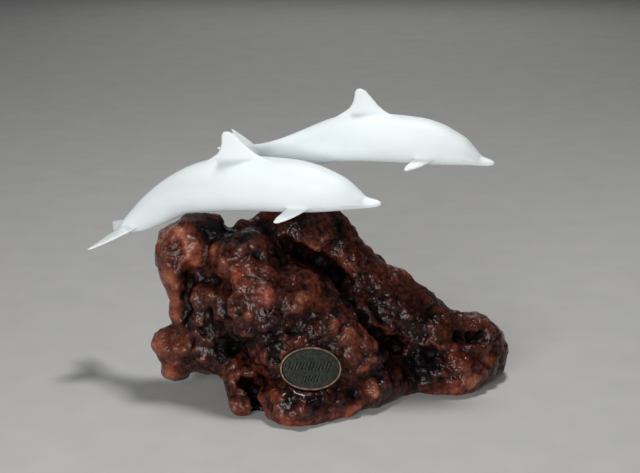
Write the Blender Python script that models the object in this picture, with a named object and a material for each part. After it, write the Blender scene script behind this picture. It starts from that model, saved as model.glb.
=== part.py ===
"""Two cast dolphins swimming over a block of burl wood, with an oval metal plate on its front.

Everything is in metres with +Z up, and the dolphins swim towards +X. The wood is built first, as
limbs made of balls run together. Each cast dolphin and the plate then gets a seat in the wood, and
the rear dolphin lies against the front one, always with the same small gap between two pieces.
"""
import math
import random
from bisect import bisect_right

import bmesh
import bpy
from mathutils import Matrix, Vector

# Sizes of the pieces, in metres.
BURL_LENGTH = 0.150
FRONT_LENGTH = 0.1275
REAR_LENGTH = 0.1110
PLATE_WIDTH = 0.0256
PLATE_HEIGHT = 0.0182
PLATE_THICKNESS = 0.0020
PLATE_RIM_WIDTH = 0.0012
PLATE_RIM_STEP = 0.0006
PLATE_TILT = 15.0

# The gap left between two pieces that touch.
CLEARANCE = 0.0003
# How much further the corners of a faceted skin go so that its flat faces keep that gap.
FACET_ALLOWANCE = 1.15
# How deep the plate sits in the wood, and how far its seat opens outwards in front of it.
PLATE_SEAT_DEPTH = 0.0009
PLATE_SEAT_FLARE = 0.0040
PLATE_SEAT_REACH = 0.0200
# How much of the rim's width each of its edges is eased by, and the points round the oval.
PLATE_RIM_EASE = 0.3
PLATE_AROUND = 40

# How finely the wood is worked: the grain of the solid, then how many faces it keeps.
BURL_VOXEL = 0.0013
BURL_FACES = 5300
# How far apart the balls of a limb are, as a share of the smaller one's radius.
BALL_STEP = 0.3
# The knobs on the wood, and how much of its radius each is sunk by.
KNOB_SPACING = 0.0052
KNOB_SMALLEST = 0.0018
KNOB_LARGEST = 0.0042
KNOB_SINK = 0.45
KNOB_SEED = 11

# The wood's limbs, in hundredths of its length. Each limb is a run of balls through the places
# given here as (x, y, z, radius), with z up from the floor.
BURL_LIMBS = {
    "left crown": [(-37.6, 0, 43.6, 7), (-33.6, 1, 46.8, 6.2), (-30.2, 0.5, 46.1, 5.4)],
    "left column": [(-38.4, 1, 41.4, 8.8), (-36, -1, 34, 7.8), (-33, -1.5, 25, 8.4), (-31, -3, 16, 8)],
    "rib": [(-43.8, -3, 41, 2.2), (-43, -3.6, 35.5, 2.1), (-41, -4.2, 29, 1.9), (-39.6, -4, 19, 2)],
    "left spur": [(-31, -4, 13.8, 7.8), (-36.5, -3, 13.4, 6.4), (-44, -1.3, 15.1, 4.2)],
    "spur lobe": [(-41.6, -2.8, 12.6, 4.7), (-41.2, -2.7, 7.4, 4.3)],
    "left foot": [(-25, -7, 12, 4.4), (-23.2, -10.8, 8.4, 4.9), (-20.6, -16.4, 1.9, 5)],
    "under the middle": [(-19, -3, 6, 6), (-9, -4, 8, 9), (8, 0, 7, 9), (24, 0, 5, 8)],
    "front foot": [(-13.6, -15, 3, 5.4), (-6.2, -18.8, 3.5, 9.4), (4, -15, 4, 8.2)],
    "plate mass": [(-10, -11, 17, 10), (-2.5, -12.3, 12.2, 10.6), (5, -10, 12, 10)],
    "centre": [(-24, -1, 35, 10), (-17, -3, 29, 15.5), (-9, -2, 26, 15)],
    "centre top": [(-23, -6, 41, 7), (-19, -5, 43, 7)],
    "centre right": [(2, -6, 21, 12.5), (9, -7.5, 15, 11)],
    "lower right": [(12.5, -9.5, 5.4, 8.5), (17, -6, 4.8, 7.6)],
    "crest": [(-21, 2, 44.8, 5.2), (-17, 3, 45.2, 5.2), (-11.6, 4, 47.8, 6.2), (-7, 3, 46, 8.8),
              (-1, 6, 46, 8)],
    "peak": [(-4.5, 8, 50, 7.5), (-6.4, 10.5, 57, 5.8), (-7.8, 10.5, 64, 3.4)],
    "peak back": [(-5, 14, 46, 8), (-6, 14, 51, 6.6), (-6.8, 13, 56, 4.8)],
    "ridge": [(1.2, 6.5, 48.6, 5.6), (5.6, 6.5, 40, 6.4), (13.8, 6.5, 29.2, 8.2),
              (19.4, 6.3, 24.5, 9.8), (22.8, 6.2, 21.2, 10.3), (27.5, 6, 17.2, 9.9),
              (32, 5.5, 13, 10.6), (41, 6, 10, 9.5), (44.5, 8, 12, 8.2), (46.8, 9, 10, 7.8)],
    "right foot": [(33, 0, 5, 8), (39, 1.2, 5, 8.9), (43, 4.2, 5.5, 8), (48.6, 9, 7, 7)],
    "back left": [(-24, 10, 34, 8), (-20, 12, 22, 12), (-15, 13, 10, 13)],
    "back middle": [(-6, 12, 42, 9), (-2, 13, 28, 13), (2, 14, 12, 14)],
    "back right": [(12, 12, 26, 9.5), (18, 13, 14, 12), (30, 12, 9, 10)],
}

# Hollows and grooves cut back into the wood, given the same way.
BURL_HOLLOWS = {
    "crown notch": [(-25.4, 9, 48.4, 1.3), (-25.4, -9, 48.4, 1.3)],
    "top of the notch": [(-24.6, 9, 50.6, 1.5), (-24.6, -9, 50.6, 1.5)],
    "left hollow": [(-35.4, -8.6, 39.4, 2.8), (-36, -8, 35.6, 3.1), (-37.4, -7.2, 30.5, 2),
                    (-37, -7.6, 27, 2.3), (-38, -6.8, 23.6, 1.5)],
    "column hollow": [(-34.6, -9, 37.4, 2.4), (-31, -9.6, 36.2, 3), (-26, -13, 35, 2.6)],
    "long groove": [(-10, -4, 46, 1.9), (-5.5, -3, 43, 2.7), (-0.5, 1.4, 39, 3),
                    (4.6, 0, 33.6, 3.2), (8.9, -7, 29.8, 3.4), (13.3, -10, 24.4, 3.6),
                    (16.8, -9.6, 19.6, 3.4), (21.6, -2, 13.3, 2.6)],
    "left side groove": [(-27.5, -13.5, 33, 2.2), (-26, -16, 24, 2.5), (-23, -17, 15, 2.2)],
    "foot gap": [(-21.6, -15.6, 8.6, 2), (-18.4, -14.6, 5.6, 3.4), (-17.2, -18, 2.8, 3.1),
                 (-16.6, -20, -1, 2.4)],
    "right hollow": [(39.4, -2.4, 16.4, 2.3), (44, -0.4, 15.9, 2.6), (47, 1, 14.9, 1.9)],
    "foot hollow": [(27, -13, 1.5, 4.4), (29.5, -10, 4, 2.8)],
    "back hollow": [(-8, 27, 20, 4), (-4, 25, 32, 3.4), (4, 22.5, 38, 2.6)],
    "back gap": [(12, 28, -1, 5), (13, 26, 8, 3.4)],
}

# Places where the wood is worn smooth and carries no knobs, as (x, y, z, radius).
SMOOTH_PLACES = [(-12, -5, 52, 9), (-3, -6, 52, 9), (-32, -4, 52, 6), (-45, -2, 43, 5),
                 (-43, -5, 30, 4), (-2.5, -22, 14, 11)]

# Where the dolphins are seated and where the plate is, in hundredths of the wood's length.
FRONT_SEAT = (-20.7, 0.0, 54.4)
REAR_SEAT = (13.0, 3.6, 67.2)
PLATE_PLACE = (-2.5, -20.9, 14.9)

# The figure that both dolphins are cast to, in shares of a dolphin's length. Along the middle
# line from the snout: how far along, top line, bottom line and half width.
FIGURE = [
    (0.004, -0.0290, -0.0420, 0.0070),
    (0.018, -0.0240, -0.0475, 0.0130),
    (0.040, -0.0200, -0.0525, 0.0175),
    (0.056, -0.0150, -0.0545, 0.0215),
    (0.068, -0.0040, -0.0560, 0.0290),
    (0.090, 0.0150, -0.0580, 0.0400),
    (0.120, 0.0385, -0.0630, 0.0520),
    (0.160, 0.0570, -0.0690, 0.0640),
    (0.220, 0.0795, -0.0770, 0.0740),
    (0.290, 0.0910, -0.0825, 0.0810),
    (0.370, 0.0930, -0.0860, 0.0840),
    (0.460, 0.0940, -0.0890, 0.0840),
    (0.540, 0.0910, -0.0890, 0.0790),
    (0.600, 0.0845, -0.0870, 0.0710),
    (0.660, 0.0750, -0.0820, 0.0590),
    (0.720, 0.0655, -0.0755, 0.0460),
    (0.780, 0.0560, -0.0685, 0.0350),
    (0.840, 0.0450, -0.0610, 0.0260),
    (0.900, 0.0310, -0.0520, 0.0200),
    (0.950, 0.0190, -0.0330, 0.0180),
    (0.985, 0.0080, -0.0080, 0.0120),
]
BODY_RINGS = 30
BODY_AROUND = 18
# Above 1 crowds the rings of the body towards its head.
RING_CROWDING = 1.25

# How each dolphin lies. The bend of its middle line is given as (share from the snout, degrees that
# the nose points up there). Its head turns towards the front by "turn" degrees, its near side rolls
# down by "roll" degrees. Its flukes point nose up by "flukes" degrees and tip sideways by "fluke roll"
# degrees, and they are lower than the middle line by "fluke drop", in shares of the length. The side
# fins droop by "side fins" degrees. The back fin starts at the "back fin" share of the length, and the
# belly touches the seat at the "seat" share.
FRONT_POSE = {
    "bend": [(0.0, -0.5), (0.35, 0.5), (0.50, 7), (0.60, 15), (0.68, 25), (0.78, 33), (1.0, 38)],
    "turn": 16.0, "roll": 14.0, "flukes": 21.0, "fluke roll": -4.0, "fluke drop": 0.0165,
    "side fins": 19.0, "back fin": 0.371, "seat": 0.470,
}
REAR_POSE = {
    "bend": [(0.0, -9), (0.15, -7), (0.30, -4), (0.42, -1), (0.52, 4), (0.60, 12), (0.68, 17),
             (0.76, 15.5), (0.84, 7), (0.92, -4), (1.0, -14)],
    "turn": 12.0, "roll": 6.0, "flukes": -24.0, "fluke roll": 0.0, "fluke drop": 0.0085,
    "side fins": 29.0, "back fin": 0.394, "seat": 0.493,
}

# The fins, in shares of the dolphin's length. Each has edges as (share of its span, how far aft).
BACK_FIN_SPAN, BACK_FIN_THICKNESS = 0.103, 0.0150
BACK_FIN_LEADING = [(-0.3, -0.085), (0.0, -0.020), (0.12, 0.008), (0.30, 0.034), (0.60, 0.062),
                    (0.85, 0.081), (0.95, 0.091), (1.0, 0.101)]
BACK_FIN_TRAILING = [(-0.3, 0.250), (0.0, 0.201), (0.30, 0.156), (0.60, 0.139), (0.85, 0.134),
                     (0.95, 0.131), (1.0, 0.125)]
SIDE_FIN_AT, SIDE_FIN_SPAN, SIDE_FIN_THICKNESS = 0.217, 0.0755, 0.0130
SIDE_FIN_LEADING = [(-0.5, -0.020), (0.0, 0.000), (0.50, 0.034), (0.80, 0.063), (1.0, 0.089)]
SIDE_FIN_TRAILING = [(-0.5, 0.055), (0.0, 0.072), (0.40, 0.089), (0.80, 0.105), (1.0, 0.107)]
FLUKE_AT, FLUKE_SPAN, FLUKE_THICKNESS = 0.940, 0.103, 0.0160
FLUKE_LEADING = [(0.0, -0.060), (0.15, -0.047), (0.40, -0.020), (0.70, 0.026), (0.90, 0.070),
                 (1.0, 0.104)]
FLUKE_TRAILING = [(0.0, 0.064), (0.06, 0.068), (0.25, 0.082), (0.50, 0.095), (0.80, 0.111),
                  (1.0, 0.123)]
# How far out and down from the middle line the side fins leave the body.
SIDE_FIN_OUT, SIDE_FIN_DOWN = 0.062, 0.034
# The back fin stands square to the back this far behind its front, and this high up.
BACK_FIN_STANCE, BACK_FIN_UP = 0.09, 0.087
# How far inside the body each fin starts, and how blunt its tip is, in shares of its span.
BACK_FIN_ROOT, SIDE_FIN_ROOT, FIN_BLUNTNESS = 0.5, 0.5, 0.03
# How much of a fin's thickness is gone at its tip, and the power of its span that it goes with.
FIN_THINNING, FIN_THINNING_POWER = 0.62, 1.4
FIN_SECTIONS = 6
FIN_AROUND = 10

# Colours of the pieces as (red, green, blue), with roughness and metallic beside them.
WOOD_COLOUR, WOOD_ROUGHNESS = (0.150, 0.032, 0.018), 0.22
CAST_COLOUR, CAST_ROUGHNESS = (0.860, 0.885, 0.900), 0.42
PLATE_COLOUR, PLATE_ROUGHNESS = (0.110, 0.068, 0.048), 0.38


def hundredths(x, y, z):
    """Gives a place in metres from one in hundredths of the wood's length."""
    return Vector((x, y, z)) * (BURL_LENGTH / 100)


def smooth_value(stations, at):
    """Reads a smooth curve through (place, value) stations, without overshoot between them."""
    places = [place for place, _ in stations]
    values = [value for _, value in stations]
    if at <= places[0]:
        return values[0]
    if at >= places[-1]:
        return values[-1]
    slopes = [(values[i + 1] - values[i]) / (places[i + 1] - places[i])
              for i in range(len(places) - 1)]

    def tangent(i):
        if i == 0:
            return slopes[0]
        if i == len(slopes):
            return slopes[-1]
        before, after = slopes[i - 1], slopes[i]
        return 2 * before * after / (before + after) if before * after > 0 else 0.0

    i = bisect_right(places, at) - 1
    step = places[i + 1] - places[i]
    t = (at - places[i]) / step
    return ((2 * t**3 - 3 * t**2 + 1) * values[i] + (t**3 - 2 * t**2 + t) * step * tangent(i)
            + (3 * t**2 - 2 * t**3) * values[i + 1] + (t**3 - t**2) * step * tangent(i + 1))


def clear_scene():
    """Empties the scene that the file starts with."""
    for old in list(bpy.data.objects):
        bpy.data.objects.remove(old, do_unlink=True)


def object_from(name, bm):
    """Turns a bmesh into a named object with its faces turned outwards."""
    bmesh.ops.recalc_face_normals(bm, faces=bm.faces)
    mesh = bpy.data.meshes.new(name)
    bm.to_mesh(mesh)
    bm.free()
    obj = bpy.data.objects.new(name, mesh)
    bpy.context.scene.collection.objects.link(obj)
    return obj


def settle(obj):
    """Works the object's modifiers into its mesh."""
    bpy.context.view_layer.update()
    graph = bpy.context.evaluated_depsgraph_get()
    worked = bpy.data.meshes.new_from_object(obj.evaluated_get(graph))
    obj.modifiers.clear()
    before = obj.data
    obj.data = worked
    bpy.data.meshes.remove(before)


def work(obj, kind, **settings):
    """Works one modifier of this kind into the object."""
    modifier = obj.modifiers.new(kind.lower(), kind)
    for name, value in settings.items():
        setattr(modifier, name, value)
    settle(obj)


def combine(obj, other, operation):
    """Joins the other solid to the object or cuts it away, then drops the other solid."""
    other.hide_render = True
    other.display_type = "WIRE"
    work(obj, "BOOLEAN", operation=operation, solver="EXACT", object=other)
    bpy.data.objects.remove(other, do_unlink=True)


def keep_largest(obj):
    """Keeps the largest connected body and drops any chips that a cut left behind."""
    bm = bmesh.new()
    bm.from_mesh(obj.data)
    unseen = set(bm.verts)
    bodies = []
    while unseen:
        body = {unseen.pop()}
        edge_of_body = list(body)
        while edge_of_body:
            for edge in edge_of_body.pop().link_edges:
                for vert in edge.verts:
                    if vert in unseen:
                        unseen.remove(vert)
                        body.add(vert)
                        edge_of_body.append(vert)
        bodies.append(body)
    bodies.sort(key=len)
    chips = [vert for body in bodies[:-1] for vert in body]
    bmesh.ops.delete(bm, geom=chips, context="VERTS")
    bm.to_mesh(obj.data)
    bm.free()


def add_ball(bm, centre, radius):
    """Adds a ball of triangles to the bmesh."""
    bmesh.ops.create_icosphere(bm, subdivisions=2, radius=radius,
                               matrix=Matrix.Translation(centre))


def add_limb(bm, stations):
    """Adds a run of balls through places given in hundredths of the wood's length."""
    hundredth = BURL_LENGTH / 100
    for first, last in zip(stations, stations[1:]):
        start, end = Vector(first[:3]), Vector(last[:3])
        step = BALL_STEP * min(first[3], last[3])
        count = max(2, math.ceil((end - start).length / step))
        for i in range(count + 1):
            share = i / count
            radius = first[3] + (last[3] - first[3]) * share
            add_ball(bm, start.lerp(end, share) * hundredth, radius * hundredth)


def limbs_object(name, limbs):
    """Builds an object from several limbs."""
    bm = bmesh.new()
    for stations in limbs.values():
        add_limb(bm, stations)
    return object_from(name, bm)


def add_knobs(wood):
    """Scatters knobs over the wood, away from its smooth places and from its underside."""
    chance = random.Random(KNOB_SEED)
    smooth = [(hundredths(*place[:3]), place[3] * BURL_LENGTH / 100) for place in SMOOTH_PLACES]
    candidates = [(vert.co.copy(), vert.normal.copy()) for vert in wood.data.vertices]
    chance.shuffle(candidates)
    knobs = []
    bm = bmesh.new()
    bm.from_mesh(wood.data)
    for place, outward in candidates:
        if place.z < KNOB_LARGEST or any((place - centre).length < reach for centre, reach in smooth):
            continue
        if any((place - other).length < KNOB_SPACING for other in knobs):
            continue
        knobs.append(place)
        radius = chance.uniform(KNOB_SMALLEST, KNOB_LARGEST)
        add_ball(bm, place - outward * radius * KNOB_SINK, radius)
    bm.to_mesh(wood.data)
    bm.free()


def build_wood():
    """Builds the block of burl wood, still without its seats."""
    wood = limbs_object("burl_base", BURL_LIMBS)
    work(wood, "REMESH", mode="VOXEL", voxel_size=BURL_VOXEL)
    work(wood, "SMOOTH", factor=0.5, iterations=6)
    add_knobs(wood)
    work(wood, "REMESH", mode="VOXEL", voxel_size=BURL_VOXEL)
    work(wood, "SMOOTH", factor=0.5, iterations=2)
    hollows = limbs_object("hollows", BURL_HOLLOWS)
    work(hollows, "REMESH", mode="VOXEL", voxel_size=BURL_VOXEL)
    combine(wood, hollows, "DIFFERENCE")
    work(wood, "REMESH", mode="VOXEL", voxel_size=BURL_VOXEL)
    work(wood, "SMOOTH", factor=0.5, iterations=2)
    keep_largest(wood)
    faces = 2 * len(wood.data.polygons)
    work(wood, "DECIMATE", ratio=BURL_FACES / faces, use_collapse_triangulate=True)
    floor = bmesh.new()
    bmesh.ops.create_cube(floor, size=2 * BURL_LENGTH,
                          matrix=Matrix.Translation((0, 0, -BURL_LENGTH)))
    combine(wood, object_from("floor cut", floor), "DIFFERENCE")
    return wood


def add_loft(bm, rings, first_end, last_end):
    """Closes a skin over rings of points, with a point at each end."""
    rows = [[bm.verts.new(point) for point in ring] for ring in rings]
    first, last = bm.verts.new(first_end), bm.verts.new(last_end)
    around = len(rows[0])
    for k in range(around):
        after = (k + 1) % around
        bm.faces.new((first, rows[0][after], rows[0][k]))
        bm.faces.new((last, rows[-1][k], rows[-1][after]))
        for row, next_row in zip(rows, rows[1:]):
            bm.faces.new((row[k], row[after], next_row[after], next_row[k]))


def middle_line(bend, share):
    """Gives the place on the middle line at this share of the length, and its pitch there."""
    steps = 60
    x = z = 0.0
    for i in range(steps):
        pitch = math.radians(smooth_value(bend, share * (i + 0.5) / steps))
        x -= math.cos(pitch) * share / steps
        z -= math.sin(pitch) * share / steps
    return Vector((x, 0, z)), math.radians(smooth_value(bend, share))


def body_frame(bend, share):
    """Gives the frame of the body at this share: x aft along it, y across it and z up from it."""
    place, pitch = middle_line(bend, share)
    aft = Vector((-math.cos(pitch), 0, -math.sin(pitch)))
    up = Vector((-math.sin(pitch), 0, math.cos(pitch)))
    across = up.cross(aft)
    return Matrix.Translation(place) @ Matrix((aft, across, up)).transposed().to_4x4()


def figure_at(share):
    """Reads the top line, bottom line and half width of the figure at this share."""
    return [smooth_value([(row[0], row[column]) for row in FIGURE], share) for column in (1, 2, 3)]


def body_ring(bend, share):
    """Gives the ring of points round the body at this share of the length."""
    top, bottom, half_width = figure_at(share)
    frame = body_frame(bend, share)
    ring = []
    for k in range(BODY_AROUND):
        angle = 2 * math.pi * k / BODY_AROUND
        height = (top + bottom) / 2 + (top - bottom) / 2 * math.cos(angle)
        ring.append(frame @ Vector((0, half_width * math.sin(angle), height)))
    return ring


def fin_ring(frame, edges, span, thickness, t):
    """Gives the ring of points round a fin at the share t of its span."""
    front, back = (smooth_value(edge, t) for edge in edges)
    half_thick = thickness / 2 * (1 - FIN_THINNING * max(0.0, t) ** FIN_THINNING_POWER)
    ring = []
    for k in range(FIN_AROUND):
        angle = 2 * math.pi * k / FIN_AROUND
        aft = (front + back) / 2 - (back - front) / 2 * math.cos(angle)
        ring.append(frame @ Vector((aft, half_thick * math.sin(angle), t * span)))
    return ring


def add_fin(bm, frame, edges, span, thickness, first):
    """Adds a fin as sections from first to 1 along its span. In its frame x runs aft and z out."""
    rings = [fin_ring(frame, edges, span, thickness, first + (1 - first) * i / FIN_SECTIONS)
             for i in range(FIN_SECTIONS + 1)]
    outwards = frame.to_3x3() @ Vector((0, 0, FIN_BLUNTNESS * span))
    middles = [sum(ring, Vector()) / len(ring) for ring in (rings[0], rings[-1])]
    add_loft(bm, rings, middles[0] - outwards, middles[1] + outwards)


def add_flukes(bm, frame):
    """Adds both flukes as one blade, the same on its two sides. In its frame x runs aft."""
    edges = (FLUKE_LEADING, FLUKE_TRAILING)
    mirror = Matrix.Scale(-1, 4, Vector((0, 0, 1)))
    shares = [i / FIN_SECTIONS for i in range(FIN_SECTIONS + 1)]
    far = [fin_ring(frame, edges, FLUKE_SPAN, FLUKE_THICKNESS, t) for t in shares]
    near = [fin_ring(frame @ mirror, edges, FLUKE_SPAN, FLUKE_THICKNESS, t) for t in shares[1:]]
    outwards = frame.to_3x3() @ Vector((0, 0, FIN_BLUNTNESS * FLUKE_SPAN))
    middles = [sum(ring, Vector()) / len(ring) for ring in (near[-1], far[-1])]
    add_loft(bm, near[::-1] + far, middles[0] - outwards, middles[1] + outwards)


def build_dolphin(name, length, pose):
    """Casts a dolphin: its body as one skin, with the fins joined to it."""
    bend = pose["bend"]
    first, last = FIGURE[0][0], FIGURE[-1][0]
    shares = [first + (last - first) * (i / (BODY_RINGS - 1)) ** RING_CROWDING
              for i in range(BODY_RINGS)]
    top, bottom, _ = figure_at(first)
    snout = body_frame(bend, 0.0) @ Vector((0, 0, (top + bottom) / 2))
    body = bmesh.new()
    add_loft(body, [body_ring(bend, share) for share in shares], snout, middle_line(bend, 1.0)[0])

    fins = bmesh.new()
    back = (body_frame(bend, pose["back fin"] + BACK_FIN_STANCE)
            @ Matrix.Translation((-BACK_FIN_STANCE, 0, BACK_FIN_UP)))
    add_fin(fins, back, (BACK_FIN_LEADING, BACK_FIN_TRAILING), BACK_FIN_SPAN, BACK_FIN_THICKNESS,
            -BACK_FIN_ROOT)
    for side in (-1, 1):
        root = Matrix.Translation((0, SIDE_FIN_OUT * side, -SIDE_FIN_DOWN))
        lean = Matrix.Rotation(-math.radians(90 + pose["side fins"]) * side, 4, "X")
        add_fin(fins, body_frame(bend, SIDE_FIN_AT) @ root @ lean,
                (SIDE_FIN_LEADING, SIDE_FIN_TRAILING), SIDE_FIN_SPAN, SIDE_FIN_THICKNESS,
                -SIDE_FIN_ROOT)
    root = middle_line(bend, FLUKE_AT)[0] - Vector((0, 0, pose["fluke drop"]))
    tail = (Matrix.Translation(root)
            @ Matrix.Rotation(-math.radians(pose["flukes"]), 4, "Y")
            @ Matrix.Rotation(math.radians(pose["fluke roll"]), 4, "X")
            @ Matrix.Rotation(math.pi, 4, "Z") @ Matrix.Rotation(math.pi / 2, 4, "X"))
    add_flukes(fins, tail)

    dolphin = object_from(name, body)
    combine(dolphin, object_from(name + " fins", fins), "UNION")
    dolphin.data.transform(Matrix.Scale(length, 4))
    keep_largest(dolphin)
    return dolphin


def lay(dolphin, length, pose, seat):
    """Lays the dolphin down with its belly on its seat."""
    _, bottom, _ = figure_at(pose["seat"])
    belly = body_frame(pose["bend"], pose["seat"]) @ Vector((0, 0, bottom)) * length
    dolphin.data.transform(Matrix.Translation(-belly))
    dolphin.location = hundredths(*seat)
    dolphin.rotation_euler = (math.radians(pose["roll"]), 0, -math.radians(pose["turn"]))


def swollen_copy(obj, name):
    """Copies the object and grows its skin outwards by the clearance."""
    copy = bpy.data.objects.new(name, obj.data.copy())
    copy.location, copy.rotation_euler = obj.location, obj.rotation_euler
    bpy.context.scene.collection.objects.link(copy)
    outward = [vert.normal.copy() for vert in copy.data.vertices]
    for vert, direction in zip(copy.data.vertices, outward):
        vert.co += direction * CLEARANCE * FACET_ALLOWANCE
    return copy


def add_ellipse_loft(bm, profile):
    """Adds an oval solid from (half width, half height, level) rings."""
    rings = []
    for half_width, half_height, level in profile:
        angles = [2 * math.pi * k / PLATE_AROUND for k in range(PLATE_AROUND)]
        rings.append([Vector((half_width * math.cos(angle), half_height * math.sin(angle), level))
                      for angle in angles])
    add_loft(bm, rings, Vector((0, 0, profile[0][2])), Vector((0, 0, profile[-1][2])))


def place_plate(obj):
    """Leans an oval piece back at the plate's place, with its face towards the front."""
    obj.location = hundredths(*PLATE_PLACE)
    obj.rotation_euler = (math.radians(90 - PLATE_TILT), 0, 0)


def build_plate():
    """Builds the oval plate with its raised rim. Its back is at level zero."""
    half_width, half_height = PLATE_WIDTH / 2, PLATE_HEIGHT / 2
    top, field = PLATE_THICKNESS, PLATE_THICKNESS - PLATE_RIM_STEP
    ease = PLATE_RIM_WIDTH * PLATE_RIM_EASE
    levels = [(0.0, 0.0), (0.0, top - ease), (ease, top), (PLATE_RIM_WIDTH - ease, top),
              (PLATE_RIM_WIDTH, field)]
    bm = bmesh.new()
    add_ellipse_loft(bm, [(half_width - inset, half_height - inset, level)
                          for inset, level in levels])
    plate = object_from("oval_plate", bm)
    place_plate(plate)
    return plate


def plate_seat():
    """Builds the cut that seats the plate: flat behind it and open in front of it."""
    half_width, half_height = PLATE_WIDTH / 2 + CLEARANCE, PLATE_HEIGHT / 2 + CLEARANCE
    bm = bmesh.new()
    add_ellipse_loft(bm, [(half_width, half_height, -CLEARANCE),
                          (half_width, half_height, PLATE_SEAT_DEPTH),
                          (half_width + PLATE_SEAT_FLARE, half_height + PLATE_SEAT_FLARE,
                           PLATE_SEAT_REACH)])
    seat = object_from("plate seat", bm)
    place_plate(seat)
    return seat


def give_material(obj, name, colour, roughness, metallic=0.0):
    """Gives the object its own plain material."""
    material = bpy.data.materials.new(name)
    material.use_nodes = True
    shader = material.node_tree.nodes["Principled BSDF"]
    shader.inputs["Base Color"].default_value = (*colour, 1)
    shader.inputs["Roughness"].default_value = roughness
    shader.inputs["Metallic"].default_value = metallic
    obj.data.materials.clear()
    obj.data.materials.append(material)


def shade_smooth(obj, angle):
    """Shades the object smooth, with edges sharper than this angle kept sharp."""
    bm = bmesh.new()
    bm.from_mesh(obj.data)
    for face in bm.faces:
        face.smooth = True
    for edge in bm.edges:
        edge.smooth = edge.calc_face_angle(0) < math.radians(angle)
    bm.to_mesh(obj.data)
    bm.free()


def stand_at_origin(pieces):
    """Hangs the pieces from one empty so that the middle of their footprint is at the origin."""
    bpy.context.view_layer.update()
    corners = [piece.matrix_world @ vert.co for piece in pieces for vert in piece.data.vertices]
    low = [min(corner[axis] for corner in corners) for axis in range(3)]
    high = [max(corner[axis] for corner in corners) for axis in range(3)]
    sculpture = bpy.data.objects.new("sculpture", None)
    sculpture.location = (-(low[0] + high[0]) / 2, -(low[1] + high[1]) / 2, -low[2])
    bpy.context.scene.collection.objects.link(sculpture)
    for piece in pieces:
        piece.parent = sculpture


def main():
    """Builds the four pieces and fits them together."""
    clear_scene()
    wood = build_wood()
    front = build_dolphin("dolphin_front", FRONT_LENGTH, FRONT_POSE)
    lay(front, FRONT_LENGTH, FRONT_POSE, FRONT_SEAT)
    rear = build_dolphin("dolphin_rear", REAR_LENGTH, REAR_POSE)
    lay(rear, REAR_LENGTH, REAR_POSE, REAR_SEAT)
    plate = build_plate()

    combine(rear, swollen_copy(front, "room for the front dolphin"), "DIFFERENCE")
    keep_largest(rear)
    for dolphin in (front, rear):
        combine(wood, swollen_copy(dolphin, "dolphin seat"), "DIFFERENCE")
    combine(wood, plate_seat(), "DIFFERENCE")
    keep_largest(wood)

    give_material(wood, "varnished burl wood", WOOD_COLOUR, WOOD_ROUGHNESS)
    give_material(front, "white casting, front", CAST_COLOUR, CAST_ROUGHNESS)
    give_material(rear, "white casting, rear", CAST_COLOUR, CAST_ROUGHNESS)
    give_material(plate, "dark bronze", PLATE_COLOUR, PLATE_ROUGHNESS, metallic=1.0)
    for piece, angle in ((wood, 60), (front, 60), (rear, 60), (plate, 30)):
        shade_smooth(piece, angle)
    stand_at_origin([wood, front, rear, plate])


main()
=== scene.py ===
# %% [markdown]
# Two white dolphins over a block of burl wood
#
# The real object is a small table sculpture. Two white castings of dolphins rest on a block of
# varnished burl, and an oval metal plate is let into the front of the wood. The solids come from
# model.glb. They could be shown as they are, but burl has far more lumps than a solid with few faces
# can hold. So each piece gets a finer mesh and a finish here, in the place that its solid gives.

# %% Load the imported solids
import math
from bisect import bisect_right

import bmesh
import bpy
import numpy as np
from mathutils import Matrix, Vector, noise
from mathutils.bvhtree import BVHTree


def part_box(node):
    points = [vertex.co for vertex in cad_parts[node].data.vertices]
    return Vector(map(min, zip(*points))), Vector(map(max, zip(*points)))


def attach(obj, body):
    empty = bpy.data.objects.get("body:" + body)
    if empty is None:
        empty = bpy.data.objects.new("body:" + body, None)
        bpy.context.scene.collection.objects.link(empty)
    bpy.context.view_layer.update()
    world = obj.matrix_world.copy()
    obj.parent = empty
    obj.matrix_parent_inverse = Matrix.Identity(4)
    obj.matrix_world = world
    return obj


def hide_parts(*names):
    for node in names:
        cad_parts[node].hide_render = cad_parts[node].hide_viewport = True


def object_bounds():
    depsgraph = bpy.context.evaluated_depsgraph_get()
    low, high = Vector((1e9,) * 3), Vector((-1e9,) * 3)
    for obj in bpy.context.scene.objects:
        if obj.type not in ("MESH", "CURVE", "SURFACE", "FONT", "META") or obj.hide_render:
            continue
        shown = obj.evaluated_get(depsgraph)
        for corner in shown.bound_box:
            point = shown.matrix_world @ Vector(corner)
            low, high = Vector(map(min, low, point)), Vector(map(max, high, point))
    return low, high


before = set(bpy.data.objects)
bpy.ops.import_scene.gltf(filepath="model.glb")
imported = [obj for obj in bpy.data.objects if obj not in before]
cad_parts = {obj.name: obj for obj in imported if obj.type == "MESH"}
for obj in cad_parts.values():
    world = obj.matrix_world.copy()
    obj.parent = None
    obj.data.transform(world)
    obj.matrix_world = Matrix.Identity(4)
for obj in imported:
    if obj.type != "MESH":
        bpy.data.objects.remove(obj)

cad_low, cad_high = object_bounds()
print("solids", sorted(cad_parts), "size", np.round(cad_high - cad_low, 4))

# %% [markdown]
# Where things are
#
# The shapes were designed round a zero point of their own, on the floor under the wood, and places
# on the wood are given in hundredths of its length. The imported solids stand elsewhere. The small
# plate is a good landmark: the difference between its place here and there gives the zero point.

# %% Find the zero point of the design
BURL_LENGTH = 0.150
PLATE_THICKNESS, PLATE_TILT = 0.0020, math.radians(15)
PLATE_PLACE = (-2.5, -20.9, 14.9)


def hundredths(x, y, z):
    """Gives a place in metres from one in hundredths of the wood's length."""
    return Vector((x, y, z)) * (BURL_LENGTH / 100)


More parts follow.
